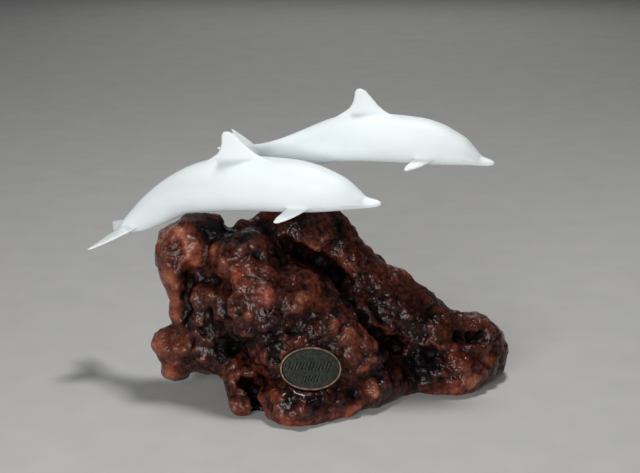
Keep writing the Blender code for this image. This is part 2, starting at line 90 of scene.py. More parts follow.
plate_low, plate_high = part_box("oval_plate")
plate_outward = Vector((0, -math.cos(PLATE_TILT), math.sin(PLATE_TILT)))
plate_middle = hundredths(*PLATE_PLACE) + plate_outward * PLATE_THICKNESS / 2
ZERO = (plate_low + plate_high) / 2 - plate_middle
print("zero point of the design", np.round(ZERO, 5))

# %% [markdown]
# The camera
#
# The picture was taken with a long lens, a little above the sculpture and square to its long side.
# Through a long lens, the dolphin that is further away looks hardly smaller for it. The camera could
# be aimed with a constraint, but a plain place and one angle are easier to read.

# %% Set up the camera
CAMERA_ELEVATION = math.radians(18)
CAMERA_DISTANCE = 0.635
CAMERA_TARGET_HEIGHT = 0.069


def put_in_scene(name, data):
    """Makes an object of a mesh, a light or a camera, and puts it in the scene."""
    thing = bpy.data.objects.new(name, data)
    bpy.context.scene.collection.objects.link(thing)
    return thing


target = ZERO + Vector((0, 0, CAMERA_TARGET_HEIGHT))
towards_camera = Vector((0, -math.cos(CAMERA_ELEVATION), math.sin(CAMERA_ELEVATION)))
lens = bpy.data.cameras.new("camera")
lens.lens = 85
lens.sensor_width = 36
camera = put_in_scene("camera", lens)
camera.location = target + towards_camera * CAMERA_DISTANCE
camera.rotation_euler = (math.pi / 2 - CAMERA_ELEVATION, 0, 0)
bpy.context.scene.camera = camera
print("camera", np.round(camera.location, 3))

# %% [markdown]
# The light
#
# The shadow of the tail lies almost under the tail itself, so the main lamp hangs right overhead. The
# near sides of the dolphins are just as bright as their backs, so a second light stands by the
# camera. It is so low that it only grazes the floor, which keeps the shadows there dark, and it draws
# the small glints on the varnish. A third, wide and weak light stands far behind, so that the back
# isn't left dark. The floor needs no gradient of its own. It grows darker away from the lamps.

# %% Hang the lamps
LAMP_WHITE = (1.0, 0.99, 0.98)


def hang_lamp(name, place, size, power, colour=LAMP_WHITE):
    """Hangs a square lamp, which no camera sees, at a place measured from the camera's target."""
    light = bpy.data.lights.new(name, "AREA")
    light.size = size
    light.energy = power
    light.color = colour
    lamp = put_in_scene(name, light)
    lamp.location = target + Vector(place)
    lamp.rotation_euler = (-Vector(place)).to_track_quat("-Z", "Y").to_euler()
    lamp.visible_camera = False
    print(name, "with", power, "watts")


hang_lamp("lamp overhead", (0.10, 0.06, 0.72), size=0.12, power=3.8, colour=(1.0, 0.985, 0.965))
hang_lamp("light by the camera", (-0.16, -0.57, 0.11), size=0.34, power=3.4)
hang_lamp("light from the back", (0.05, 0.95, 0.36), size=0.60, power=0.9)

room = bpy.data.worlds.new("room")
room.use_nodes = True
air = room.node_tree.nodes["Background"]
air.inputs["Color"].default_value = (0.90, 0.95, 1.0, 1)
air.inputs["Strength"].default_value = 0.06
bpy.context.scene.world = room
bpy.context.scene.view_settings.view_transform = "Standard"

# %% [markdown]
# Materials from nodes
#
# Each finish is a small net of nodes. Python can wire them one by one, but a few short helpers make
# the nets easy to read: one starts a material, and each of the others adds a node or two and gives
# back what they put out. A value that is the same everywhere goes straight onto the shader's socket.

# %% Helpers for the finishes
def feed(tree, socket, value):
    """Wires another node's output to a socket, or sets the socket to a plain value."""
    if isinstance(value, bpy.types.NodeSocket):
        tree.links.new(value, socket)
    else:
        socket.default_value = value


def feed_all(tree, node, **values):
    """Feeds a node's sockets by their names, in which _ stands for a space."""
    for name, value in values.items():
        feed(tree, node.inputs[name.replace("_", " ")], value)


def start_finish(name):
    """Starts a material, and gives it with its net of nodes and its shader."""
    material = bpy.data.materials.new(name)
    material.use_nodes = True
    return material, material.node_tree, material.node_tree.nodes["Principled BSDF"]


def add_node(tree, kind, settings=None, **values):
    """Adds a node with its settings, and feeds its sockets."""
    node = tree.nodes.new("ShaderNode" + kind)
    for name, value in (settings or {}).items():
        setattr(node, name, value)
    feed_all(tree, node, **values)
    return node


def add_noise(tree, grain, detail=3.0):
    """Adds a noise whose blotches are about this many metres across."""
    place = add_node(tree, "TexCoord").outputs["Object"]
    return add_node(tree, "TexNoise", Vector=place, Scale=1 / grain, Detail=detail).outputs["Fac"]


def add_range(tree, value, before, after):
    """Stretches a value from one (low, high) range to another."""
    node = add_node(tree, "MapRange", Value=value, From_Min=before[0], From_Max=before[1],
                    To_Min=after[0], To_Max=after[1])
    return node.outputs["Result"]


def add_ramp(tree, value, colours):
    """Turns a value into a colour through (place, colour) stops."""
    node = add_node(tree, "ValToRGB", Fac=value)
    stops = node.color_ramp.elements
    while len(stops) < len(colours):
        stops.new(0.5)
    for stop, (place, colour) in zip(stops, colours):
        stop.position = place
        stop.color = (*colour, 1)
    return node.outputs["Color"]


# Nearly all of a noise lies between these two values.
NOISE_LOW, NOISE_HIGH = 0.3, 0.7


def add_mottle(tree, grain, low, high, detail=3.0):
    """Adds a value that a noise moves between low and high."""
    return add_range(tree, add_noise(tree, grain, detail), (NOISE_LOW, NOISE_HIGH), (low, high))


def add_clouds(tree, grain, dark, light, detail=4.0):
    """Adds a colour that a noise moves between dark and light."""
    return add_ramp(tree, add_noise(tree, grain, detail), [(NOISE_LOW, dark), (NOISE_HIGH, light)])


def add_blend(tree, share, first, second):
    """Blends from the first colour to the second by a share."""
    node = add_node(tree, "Mix", {"data_type": "RGBA"}, Factor=share)
    inlets = [inlet for inlet in node.inputs if inlet.type == "RGBA"]
    for inlet, colour in zip(inlets, (first, second)):
        feed(tree, inlet, (*colour, 1) if isinstance(colour, tuple) else colour)
    return next(outlet for outlet in node.outputs if outlet.type == "RGBA")


def add_math(tree, operation, *values, kind="Math"):
    """Works an operation on numbers, or on vectors with the kind VectorMath."""
    node = add_node(tree, kind, {"operation": operation})
    for socket, value in zip(node.inputs, values):
        feed(tree, socket, value)
    return node.outputs[0]


def add_bump(tree, height, depth):
    """Turns a height from 0 to 1 into bumps this many metres deep."""
    return add_node(tree, "Bump", Height=height, Distance=depth).outputs["Normal"]


def read_mark(tree, name):
    """Reads a value that the mesh keeps at each of its points."""
    return add_node(tree, "Attribute", {"attribute_name": name}).outputs["Fac"]


print("a noise is taken from", NOISE_LOW, "to", NOISE_HIGH)

# %% [markdown]
# Tools for meshes
#
# Every piece below is worked in the same few ways: a modifier is settled into the mesh, points are
# read and written all at once as an array, and a search tree answers how far a point is from another
# piece's skin. Modifiers could stay live, but later steps need the points that they make.

# %% Helpers for the meshes
def object_from(name, bm):
    """Turns a bmesh into a named object with its faces turned outwards."""
    bmesh.ops.recalc_face_normals(bm, faces=bm.faces)
    mesh = bpy.data.meshes.new(name)
    bm.to_mesh(mesh)
    bm.free()
    return put_in_scene(name, mesh)


def turns(count):
    """Gives this many angles, evenly round a full turn."""
    return [2 * math.pi * k / count for k in range(count)]


def add_loft(bm, rings, first_end, last_end):
    """Closes a skin over rings of points, with a point at each end."""
    rows = [[bm.verts.new(point) for point in ring] for ring in rings]
    first, last = bm.verts.new(first_end), bm.verts.new(last_end)
    around = len(rows[0])
    for k in range(around):
        after = (k + 1) % around
        bm.faces.new((first, rows[0][after], rows[0][k]))
        bm.faces.new((last, rows[-1][k], rows[-1][after]))
        for row, next_row in zip(rows, rows[1:]):
            bm.faces.new((row[k], row[after], next_row[after], next_row[k]))


def work(piece, kind, **settings):
    """Works one modifier into the piece's mesh."""
    modifier = piece.modifiers.new(kind.lower(), kind)
    for name, value in settings.items():
        setattr(modifier, name, value)
    bpy.context.view_layer.update()
    graph = bpy.context.evaluated_depsgraph_get()
    worked = bpy.data.meshes.new_from_object(piece.evaluated_get(graph))
    piece.modifiers.clear()
    before = piece.data
    piece.data = worked
    bpy.data.meshes.remove(before)


def smooth(piece, rounds, group=""):
    """Evens the skin out. In each round, points move towards the middle of their neighbours."""
    work(piece, "SMOOTH", factor=0.5, iterations=rounds, vertex_group=group)


def combine(piece, other, operation):
    """Joins the other solid to the piece or cuts it away, then drops the other solid."""
    work(piece, "BOOLEAN", operation=operation, solver="EXACT", object=other)
    bpy.data.objects.remove(other, do_unlink=True)


def read_points(piece, kind="co"):
    """Gives the piece's points as an array, or another vector that each point has."""
    vectors = np.empty(len(piece.data.vertices) * 3)
    piece.data.vertices.foreach_get(kind, vectors)
    return vectors.reshape(-1, 3)


def read_outward(piece):
    """Gives the direction that the skin faces at each point."""
    return read_points(piece, "normal")


def write_points(piece, points):
    """Moves the piece's points to the places in an array."""
    piece.data.vertices.foreach_set("co", points.ravel())
    piece.data.update()


def keep_mark(piece, name, values):
    """Keeps a value at each point, for the finish to read."""
    mark = piece.data.attributes.new(name, "FLOAT", "POINT")
    mark.data.foreach_set("value", np.asarray(values, dtype=np.float32))


def skin_of(piece):
    """Makes a search tree of the piece's skin."""
    bm = bmesh.new()
    bm.from_mesh(piece.data)
    tree = BVHTree.FromBMesh(bm)
    bm.free()
    return tree


def finish_piece(piece, material, node):
    """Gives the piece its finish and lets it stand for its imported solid."""
    piece.data.materials.clear()
    piece.data.materials.append(material)
    piece.data.shade_smooth()
    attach(piece, "root")
    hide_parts(node)
    triangles = sum(len(face.vertices) - 2 for face in piece.data.polygons)
    print(piece.name, "has", triangles, "triangles")


# %% [markdown]
# The floor is a sheet of pale grey paper. A flat grey would do from afar, but paper has a faint
# mottle, so a soft noise moves its grey up and down by a few hundredths.

# %% Lay the paper floor
FLOOR_WIDTH = 7.0
PAPER_GRAIN = 0.02
PAPER_DARK, PAPER_LIGHT = (0.455, 0.455, 0.447), (0.485, 0.485, 0.478)

paper, net, shader = start_finish("pale grey paper")
feed_all(net, shader, Roughness=0.9, Specular_IOR_Level=0.05,
         Base_Color=add_clouds(net, PAPER_GRAIN, PAPER_DARK, PAPER_LIGHT, detail=5.0))

sheet = bmesh.new()
bmesh.ops.create_grid(sheet, x_segments=8, y_segments=8, size=FLOOR_WIDTH / 2)
floor = object_from("paper_floor", sheet)
floor.data.materials.append(paper)
floor.location = (ZERO.x, ZERO.y, cad_low.z)
print("the floor is", FLOOR_WIDTH, "m wide")

# %% [markdown]
# The figure of a dolphin
#
# Both castings come from one figure: a top line, a bottom line and a half width along a middle line,
# all in shares of the dolphin's length. The middle line bends differently in each casting. A sculptor
# would push clay about, but a lofted skin over such lines keeps both dolphins of one breed, and it is
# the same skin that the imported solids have, only finer.

# %% The lines of the body
# Stations of the body, as (place, top, bottom, half width).
FIGURE = [
    (0.004, -0.029, -0.042, 0.007), (0.018, -0.024, -0.0475, 0.013), (0.04, -0.02, -0.0525, 0.0175),
    (0.056, -0.015, -0.0545, 0.0215), (0.068, -0.004, -0.056, 0.029), (0.09, 0.015, -0.058, 0.04),
    (0.12, 0.0385, -0.063, 0.052), (0.16, 0.057, -0.069, 0.064), (0.22, 0.0795, -0.077, 0.074),
    (0.29, 0.091, -0.0825, 0.081), (0.37, 0.093, -0.086, 0.084), (0.46, 0.094, -0.089, 0.084),
    (0.54, 0.091, -0.089, 0.079), (0.6, 0.0845, -0.087, 0.071), (0.66, 0.075, -0.082, 0.059),
    (0.72, 0.0655, -0.0755, 0.046), (0.78, 0.056, -0.0685, 0.035), (0.84, 0.045, -0.061, 0.026),
    (0.9, 0.031, -0.052, 0.02), (0.95, 0.019, -0.033, 0.018), (0.985, 0.008, -0.008, 0.012),
]
BODY_RINGS, BODY_AROUND = 130, 72
# This power crowds the rings towards the snout.
RING_CROWDING = 1.4


def smooth_value(stations, at):
    """Reads a smooth curve through (place, value) stations, without overshoot between them."""
    places = [place for place, _ in stations]
    values = [value for _, value in stations]
    if at <= places[0]:
        return values[0]
    if at >= places[-1]:
        return values[-1]
    slopes = [(values[i + 1] - values[i]) / (places[i + 1] - places[i])
              for i in range(len(places) - 1)]

    def tangent(i):
        if i == 0:
            return slopes[0]
        if i == len(slopes):
            return slopes[-1]
        before, after = slopes[i - 1], slopes[i]
        return 2 * before * after / (before + after) if before * after > 0 else 0.0

    i = bisect_right(places, at) - 1
    step = places[i + 1] - places[i]
    t = (at - places[i]) / step
    return ((2 * t**3 - 3 * t**2 + 1) * values[i] + (t**3 - 2 * t**2 + t) * step * tangent(i)
            + (3 * t**2 - 2 * t**3) * values[i + 1] + (t**3 - t**2) * step * tangent(i + 1))


def middle_line(bend, share):
    """Gives the place on the middle line at this share of the length, and its pitch there."""
    steps = 60
    x = z = 0.0
    for i in range(steps):
        pitch = math.radians(smooth_value(bend, share * (i + 0.5) / steps))
        x -= math.cos(pitch) * share / steps
        z -= math.sin(pitch) * share / steps
    return Vector((x, 0, z)), math.radians(smooth_value(bend, share))


def body_frame(bend, share):
    """Gives the frame of the body at this share: x aft along it, y across it and z up from it."""
    place, pitch = middle_line(bend, share)
    aft = Vector((-math.cos(pitch), 0, -math.sin(pitch)))
    up = Vector((-math.sin(pitch), 0, math.cos(pitch)))
    across = up.cross(aft)
    return Matrix.Translation(place) @ Matrix((aft, across, up)).transposed().to_4x4()


def figure_at(share):
    """Reads the top line, bottom line and half width of the figure at this share."""
    return [smooth_value([(row[0], row[column]) for row in FIGURE], share) for column in (1, 2, 3)]


def body_ring(bend, share, angles):
    """Gives points round the body at this share of the length. Angles start at the back."""
    top, bottom, half_width = figure_at(share)
    at = body_frame(bend, share)
    return [at @ Vector((0, half_width * math.sin(angle),
                         (top + bottom) / 2 + (top - bottom) / 2 * math.cos(angle)))
            for angle in angles]


def body_object(pose):
    """Builds the body of a dolphin one unit long."""
    first, last = FIGURE[0][0], FIGURE[-1][0]
    top, bottom, _ = figure_at(first)
    snout = body_frame(pose["bend"], 0.0) @ Vector((0, 0, (top + bottom) / 2))
    shares = [first + (last - first) * (i / (BODY_RINGS - 1))**RING_CROWDING
              for i in range(BODY_RINGS)]
    rings = [body_ring(pose["bend"], share, turns(BODY_AROUND)) for share in shares]
    body = bmesh.new()
    add_loft(body, rings, snout, middle_line(pose["bend"], 1.0)[0])
    return object_from("body", body)


print("the figure has", len(FIGURE), "stations")

# %% [markdown]
# Fins and flukes
#
# A fin is a thin lens in section, widest where it leaves the body. Its two edges are curves that give
# how far aft each point of its span lies, and rings of points between them make its skin. The flukes
# are one blade with two equal halves. Flat cut-outs would be simpler, but they would have hard edges
# that no casting has.

# %% The fins
BACK_FIN_SPAN, BACK_FIN_THICKNESS = 0.103, 0.0150
BACK_FIN_LEADING = [(-0.3, -0.085), (0.0, -0.020), (0.12, 0.008), (0.30, 0.034), (0.60, 0.062),
                    (0.85, 0.081), (0.95, 0.091), (1.0, 0.101)]
BACK_FIN_TRAILING = [(-0.3, 0.250), (0.0, 0.201), (0.30, 0.156), (0.60, 0.139), (0.85, 0.134),
                     (0.95, 0.131), (1.0, 0.125)]
SIDE_FIN_AT, SIDE_FIN_SPAN, SIDE_FIN_THICKNESS = 0.217, 0.0755, 0.0130
SIDE_FIN_LEADING = [(-0.5, -0.020), (0.0, 0.000), (0.50, 0.034), (0.80, 0.063), (1.0, 0.089)]
SIDE_FIN_TRAILING = [(-0.5, 0.055), (0.0, 0.072), (0.40, 0.089), (0.80, 0.105), (1.0, 0.107)]
FLUKE_AT, FLUKE_SPAN, FLUKE_THICKNESS = 0.940, 0.103, 0.0160
FLUKE_LEADING = [(0.0, -0.060), (0.15, -0.047), (0.40, -0.020), (0.70, 0.026), (0.90, 0.070),
                 (1.0, 0.104)]
FLUKE_TRAILING = [(0.0, 0.064), (0.06, 0.068), (0.25, 0.082), (0.50, 0.095), (0.80, 0.111),
                  (1.0, 0.123)]
SIDE_FIN_OUT, SIDE_FIN_DOWN = 0.062, 0.034
BACK_FIN_STANCE, BACK_FIN_UP = 0.09, 0.087
# In shares of the span: how far a fin reaches into the body, and how blunt its tip is.
FIN_ROOT, FIN_BLUNTNESS = 0.5, 0.03
# How much of a fin's thickness is gone at its tip, and the power of its span that it goes with.
FIN_THINNING, FIN_THINNING_POWER = 0.62, 1.4
FIN_SECTIONS, FIN_AROUND = 22, 28


def fin_ring(at, edges, span, thickness, t):
    """Gives the ring of points round a fin at the share t of its span."""
    front, back = (smooth_value(edge, t) for edge in edges)
    half_thick = thickness / 2 * (1 - FIN_THINNING * max(0.0, t)**FIN_THINNING_POWER)
    middle, half_long = (front + back) / 2, (back - front) / 2
    return [at @ Vector((middle - half_long * math.cos(angle), half_thick * math.sin(angle), t * span))
            for angle in turns(FIN_AROUND)]


def close_blade(bm, at, rings, span):
    """Closes the skin of a blade, with a blunt tip at both ends of its span."""
    tip = at.to_3x3() @ Vector((0, 0, FIN_BLUNTNESS * span))
    first, last = (sum(ring, Vector()) / len(ring) for ring in (rings[0], rings[-1]))
    add_loft(bm, rings, first - tip, last + tip)


def add_fin(bm, at, edges, span, thickness):
    """Adds a fin with its root. In its frame x runs aft and z out."""
    rings = [fin_ring(at, edges, span, thickness, (1 + FIN_ROOT) * i / FIN_SECTIONS - FIN_ROOT)
             for i in range(FIN_SECTIONS + 1)]
    close_blade(bm, at, rings, span)


def add_flukes(bm, at):
    """Adds both flukes as one blade, the same on its two sides. In its frame x runs aft."""
    edges = (FLUKE_LEADING, FLUKE_TRAILING)
    mirror = Matrix.Scale(-1, 4, Vector((0, 0, 1)))
    shares = [i / FIN_SECTIONS for i in range(FIN_SECTIONS + 1)]
    far = [fin_ring(at, edges, FLUKE_SPAN, FLUKE_THICKNESS, t) for t in shares]
    near_side = [fin_ring(at @ mirror, edges, FLUKE_SPAN, FLUKE_THICKNESS, t) for t in shares[1:]]
    close_blade(bm, at, near_side[::-1] + far, FLUKE_SPAN)


def fins_object(pose):
    """Builds the fins and flukes of a dolphin one unit long."""
    bend = pose["bend"]
    fins = bmesh.new()
    back = (body_frame(bend, pose["back fin"] + BACK_FIN_STANCE)
            @ Matrix.Translation((-BACK_FIN_STANCE, 0, BACK_FIN_UP)))
    add_fin(fins, back, (BACK_FIN_LEADING, BACK_FIN_TRAILING), BACK_FIN_SPAN, BACK_FIN_THICKNESS)
    for side in (-1, 1):
        root = Matrix.Translation((0, SIDE_FIN_OUT * side, -SIDE_FIN_DOWN))
        lean = Matrix.Rotation(-math.radians(90 + pose["side fins"]) * side, 4, "X")
        add_fin(fins, body_frame(bend, SIDE_FIN_AT) @ root @ lean,
                (SIDE_FIN_LEADING, SIDE_FIN_TRAILING), SIDE_FIN_SPAN, SIDE_FIN_THICKNESS)
    root = middle_line(bend, FLUKE_AT)[0] - Vector((0, 0, pose["fluke drop"]))
    tail = (Matrix.Translation(root)
            @ Matrix.Rotation(-math.radians(pose["flukes"]), 4, "Y")
            @ Matrix.Rotation(math.radians(pose["fluke roll"]), 4, "X")
            @ Matrix.Rotation(math.pi, 4, "Z") @ Matrix.Rotation(math.pi / 2, 4, "X"))
    add_flukes(fins, tail)
    return object_from("fins", fins)


print("fins have", FIN_SECTIONS, "sections of", FIN_AROUND, "points")

# %% [markdown]
# How each dolphin lies
#
# A pose is a bend of the middle line, a turn of the head towards the viewer, a roll, and a few places
# for the fins. The belly touches the wood at the seat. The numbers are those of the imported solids, so
# the finer skins lie exactly where the solids are.

# %% The two poses
FRONT_LENGTH, REAR_LENGTH = 0.1275, 0.1110
FRONT_SEAT, REAR_SEAT = (-20.7, 0.0, 54.4), (13.0, 3.6, 67.2)
FRONT_POSE = {
    "bend": [(0.0, -0.5), (0.35, 0.5), (0.50, 7), (0.60, 15), (0.68, 25), (0.78, 33), (1.0, 38)],
    "turn": 16.0, "roll": 14.0, "flukes": 21.0, "fluke roll": -4.0, "fluke drop": 0.0165,
    "side fins": 19.0, "back fin": 0.371, "seat": 0.470,
}
REAR_POSE = {
    "bend": [(0.0, -9), (0.15, -7), (0.30, -4), (0.42, -1), (0.52, 4), (0.60, 12), (0.68, 17),
             (0.76, 15.5), (0.84, 7), (0.92, -4), (1.0, -14)],
    "turn": 12.0, "roll": 6.0, "flukes": -24.0, "fluke roll": 0.0, "fluke drop": 0.0085,
    "side fins": 29.0, "back fin": 0.394, "seat": 0.493,
}


def lie(length, pose, seat):
    """Gives the matrix that lays a dolphin one unit long down with its belly on its seat."""
    _, bottom, _ = figure_at(pose["seat"])
    belly = body_frame(pose["bend"], pose["seat"]) @ Vector((0, 0, bottom)) * length
    turn = Matrix.Rotation(-math.radians(pose["turn"]), 4, "Z")
    roll = Matrix.Rotation(math.radians(pose["roll"]), 4, "X")
    return (Matrix.Translation(ZERO + hundredths(*seat)) @ turn @ roll
            @ Matrix.Translation(-belly) @ Matrix.Scale(length, 4))


front_lie = lie(FRONT_LENGTH, FRONT_POSE, FRONT_SEAT)
rear_lie = lie(REAR_LENGTH, REAR_POSE, REAR_SEAT)
print("snouts at", [[round(value, 4) for value in place.translation]
                    for place in (front_lie, rear_lie)])

# %% [markdown]
# Casting a dolphin
#
# In the mould the fins grow out of the body in soft hollows. A Boolean union alone leaves a sharp
# line there. So the union is remeshed into small even faces and smoothed, but only near the corners,
# where a point is close to both the body's skin and a fin's. Smoothing also eats thin edges, so each
# point that it moved inwards goes back to where it was. What stays is the filling in the corners.

# %% Join the fins to the body
CASTING_GRAIN = 0.00034
# How near both skins a corner reaches, and the share of that in which its smoothing fades out.
ROOT_REACH, ROOT_FADE = 0.0060, 0.5
ROOT_ROUNDS, LAST_ROUNDS = 230, 8
# Points that are moved outwards by this much keep all of their move.
ROOT_EASE = 0.00012


def soften_roots(dolphin, body_skin, fin_skin):
    """Fills the corners between the fins and the body with soft hollows."""
    before, outward = read_points(dolphin), read_outward(dolphin)
    roots = dolphin.vertex_groups.new(name="roots")
    for i, point in enumerate(before):
        reaches = [skin.find_nearest(point, ROOT_REACH)[3] for skin in (body_skin, fin_skin)]
        if None not in reaches:
            roots.add([i], min(1.0, (1 - max(reaches) / ROOT_REACH) / ROOT_FADE), "REPLACE")
    smooth(dolphin, ROOT_ROUNDS, "roots")
    moved = read_points(dolphin) - before
    kept = np.clip((moved * outward).sum(axis=1) / ROOT_EASE, 0, 1)
    write_points(dolphin, before + moved * kept[:, None])
    smooth(dolphin, LAST_ROUNDS, "roots")
    dolphin.vertex_groups.clear()


def cast_dolphin(name, lies, pose, room_for=None):
    """Casts a dolphin, and cuts room out of it for another solid if one is given."""
    dolphin, fins = body_object(pose), fins_object(pose)
    for solid in (dolphin, fins):
        solid.data.transform(lies)
    body_skin, fin_skin = skin_of(dolphin), skin_of(fins)
    dolphin.name = name
    combine(dolphin, fins, "UNION")
    if room_for:
        combine(dolphin, room_for, "DIFFERENCE")
    work(dolphin, "REMESH", mode="VOXEL", voxel_size=CASTING_GRAIN)
    soften_roots(dolphin, body_skin, fin_skin)
    print(name, "has", len(dolphin.data.vertices), "points")
    return dolphin


front_dolphin = cast_dolphin("front_dolphin", front_lie, FRONT_POSE)

# %% [markdown]
# The rear dolphin lies against the front one with a hair's gap between them. A copy of the front
# dolphin, swollen by that gap, cuts its room out of the rear one before it is remeshed. The copy is
# thinned first, because a Boolean with a very fine mesh takes long.

# %% Cast the rear dolphin
CASTING_GAP = 0.0003
KEPT_FACES = 0.12


def swollen_copy(piece, gap):
    """Copies the piece, grows its skin outwards by the gap and keeps only a share of its faces."""
    copy = put_in_scene("swollen copy", piece.data.copy())
    write_points(copy, read_points(piece) + read_outward(piece) * gap)
    work(copy, "DECIMATE", ratio=KEPT_FACES)
    return copy


rear_dolphin = cast_dolphin("rear_dolphin", rear_lie, REAR_POSE,
                            swollen_copy(front_dolphin, CASTING_GAP))

# %% [markdown]
# Mouths
#
# The castings are plain, with only a soft line for the mouth that rises a little towards the cheek. It
# could be only a dark stripe in the finish, but a real groove catches the light from every side, so the
# groove is pressed in, and the finish also paints it a little grey, which is painted shade. The line
# runs over the skin through a few (share of the length, angle from the back) places, and points near it
# are pushed in.

# %% Press the mouths in
MOUTH_LINE = [(0.004, 93), (0.020, 97), (0.045, 101), (0.070, 109), (0.095, 113), (0.118, 112)]
MOUTH_DEPTH = 0.00016
MOUTH_WIDTH = 0.00065
MOUTH_STEPS = 60


def press_mouth(dolphin, lies, pose):
    """Presses the line of the mouth into both sides of the head and marks it."""
    line = []
    for i in range(MOUTH_STEPS + 1):
        share = MOUTH_LINE[0][0] + (MOUTH_LINE[-1][0] - MOUTH_LINE[0][0]) * i / MOUTH_STEPS
        angle = math.radians(smooth_value(MOUTH_LINE, share))
        line += [lies @ point for point in body_ring(pose["bend"], share, (angle, -angle))]
    points, outward = read_points(dolphin), read_outward(dolphin)
    pressed = np.zeros(len(points))
    for place in line:
        distance = np.linalg.norm(points - np.array(place), axis=1)
        pressed = np.maximum(pressed, np.exp(-(distance / MOUTH_WIDTH)**2))
    write_points(dolphin, points - outward * (pressed * MOUTH_DEPTH)[:, None])
    # The crease mark also lets the finish paint the groove grey, as painted shade.
    keep_mark(dolphin, "crease", pressed)


press_mouth(front_dolphin, front_lie, FRONT_POSE)
press_mouth(rear_dolphin, rear_lie, REAR_POSE)
print("mouths", MOUTH_DEPTH * 1000, "mm deep")

# %% [markdown]
# The white casting
#
# The castings are a cool, even white with a satin skin. A pure white would look like paper, so faint
# clouds move the colour, and a very fine bump keeps the sheen from being perfect. Cast plastic lets
# light in under its skin, which softens the shadow at the foot of each fin. The shader's subsurface
# values do that, and their scale is how far the light spreads, in metres.

# %% The finish of the castings
CASTING_DARK, CASTING_LIGHT = (0.702, 0.762, 0.784), (0.737, 0.792, 0.814)
# The grey in the mouth is painted shade in the groove, not a colour of the casting.
MOUTH_PAINTED_SHADE, MOUTH_SHADE = (0.52, 0.54, 0.56), 0.30
CLOUD_GRAIN, SHEEN_GRAIN, SKIN_GRAIN, SKIN_DEPTH = 0.012, 0.003, 0.0012, 0.00002


def white_casting(name):
    """Makes the cool white of the castings, with its faint clouds and painted shade in the mouth
    groove.
    """
    material, net, shader = start_finish(name)
    clouds = add_clouds(net, CLOUD_GRAIN, CASTING_DARK, CASTING_LIGHT)
    painted_mouth_shade = add_range(net, read_mark(net, "crease"), (0.1, 1.0), (0.0, MOUTH_SHADE))
    feed_all(net, shader, IOR=1.47, Subsurface_Weight=0.6, Subsurface_Radius=(1.0, 1.0, 1.0),
             Subsurface_Scale=0.004, Base_Color=add_blend(net, painted_mouth_shade, clouds, MOUTH_PAINTED_SHADE),
             Roughness=add_mottle(net, SHEEN_GRAIN, 0.46, 0.56),
             Normal=add_bump(net, add_noise(net, SKIN_GRAIN), SKIN_DEPTH))
    return material


for dolphin, side in ((front_dolphin, "front"), (rear_dolphin, "rear")):
    finish_piece(dolphin, white_casting("white casting, " + side), "dolphin_" + side)

# %% [markdown]
# The plate
#
# A thin oval of dark metal with a raised rim. Its back and edge could stay as they are, but the eye
# goes to the field, so the face gets close rings of points that can hold shallow marks. The marks are
# rows of plain slanted strokes that say nothing.

# %% Turn the plate and score its field
PLATE_WIDTH, PLATE_HEIGHT = 0.0256, 0.0182
RIM_WIDTH, RIM_STEP = 0.0012, 0.0006
# The rounded share of the step, the corners of the rounding, and the place of a ring on the side.
RIM_ROUNDED, RIM_CORNERS, SIDE_RING = 0.8, 12, 0.4
PLATE_AROUND, FIELD_RINGS = 300, 60
STROKE_DEPTH, STROKE_WIDTH = 0.00010, 0.00020
STROKE_SLANT = math.radians(20)
# Rows of strokes as (height on the plate, first place, last place, strokes, length of each).
STROKE_ROWS = [(0.0012, -0.0085, 0.0082, 13, 0.0031), (-0.0042, -0.0030, 0.0030, 6, 0.0019)]


def plate_profile():
    """Gives the rings of the plate as (inset, level), from its back to the edge of its field."""
    top, rounded = PLATE_THICKNESS, RIM_ROUNDED * RIM_STEP
    profile = [(0.0, 0.0), (0.0, SIDE_RING * top), (0.0, top - rounded)]
    for i in range(1, RIM_CORNERS):
        angle = math.pi * i / RIM_CORNERS
        inset = RIM_WIDTH / 2 * (1 - math.cos(angle))
        profile.append((inset, top - rounded * (1 - math.sin(angle))))
    return profile + [(RIM_WIDTH, top - RIM_STEP)]


def stroke_ends():
    """Gives the two ends of each stroke on the plate."""
    slant = Vector((math.sin(STROKE_SLANT), math.cos(STROKE_SLANT)))
    strokes = []
    for height, first, last, count, length in STROKE_ROWS:
        for i in range(count):
            middle = Vector((first + (last - first) * i / (count - 1), height))
            strokes.append((middle - slant * length / 2, middle + slant * length / 2))
    return strokes


def score_depth(points):
    """Gives how deeply the strokes score each point, from 0 to 1."""
    depth = np.zeros(len(points))
    for start, end in stroke_ends():
        along = np.array(end - start)
        share = np.clip((points[:, :2] - np.array(start)) @ along / (along @ along), 0, 1)
        distance = np.linalg.norm(points[:, :2] - np.array(start) - share[:, None] * along, axis=1)
        depth = np.maximum(depth, np.exp(-(distance / STROKE_WIDTH)**2))
    return depth


def turn_plate():
    """Builds the plate flat, with its back at level zero."""
    ovals = [(PLATE_WIDTH / 2 - inset, PLATE_HEIGHT / 2 - inset, level)
             for inset, level in plate_profile()]
    half_width, half_height, field = ovals[-1]
    shares = [1 - i / FIELD_RINGS for i in range(1, FIELD_RINGS)]
    ovals += [(half_width * share, half_height * share, field) for share in shares]
    rings = [[Vector((wide * math.cos(angle), high * math.sin(angle), level))
              for angle in turns(PLATE_AROUND)] for wide, high, level in ovals]
    bm = bmesh.new()
    add_loft(bm, rings, Vector((0, 0, 0)), Vector((0, 0, field)))
    return object_from("plate", bm)


plate = turn_plate()
flat = read_points(plate)
oval = ((flat[:, 0] / (PLATE_WIDTH / 2 - RIM_WIDTH))**2
        + (flat[:, 1] / (PLATE_HEIGHT / 2 - RIM_WIDTH))**2)
on_field = (oval < 1) & (flat[:, 2] > PLATE_THICKNESS / 2)
scored = score_depth(flat) * on_field
keep_mark(plate, "scored", scored)
keep_mark(plate, "rim", np.clip((flat[:, 2] - PLATE_THICKNESS) / RIM_STEP + 1, 0, 1))
flat[:, 2] -= scored * STROKE_DEPTH
write_points(plate, flat)
plate.data.transform(Matrix.Translation(ZERO + hundredths(*PLATE_PLACE))
                     @ Matrix.Rotation(math.pi / 2 - PLATE_TILT, 4, "X"))
print("plate scored with", len(stroke_ends()), "strokes")

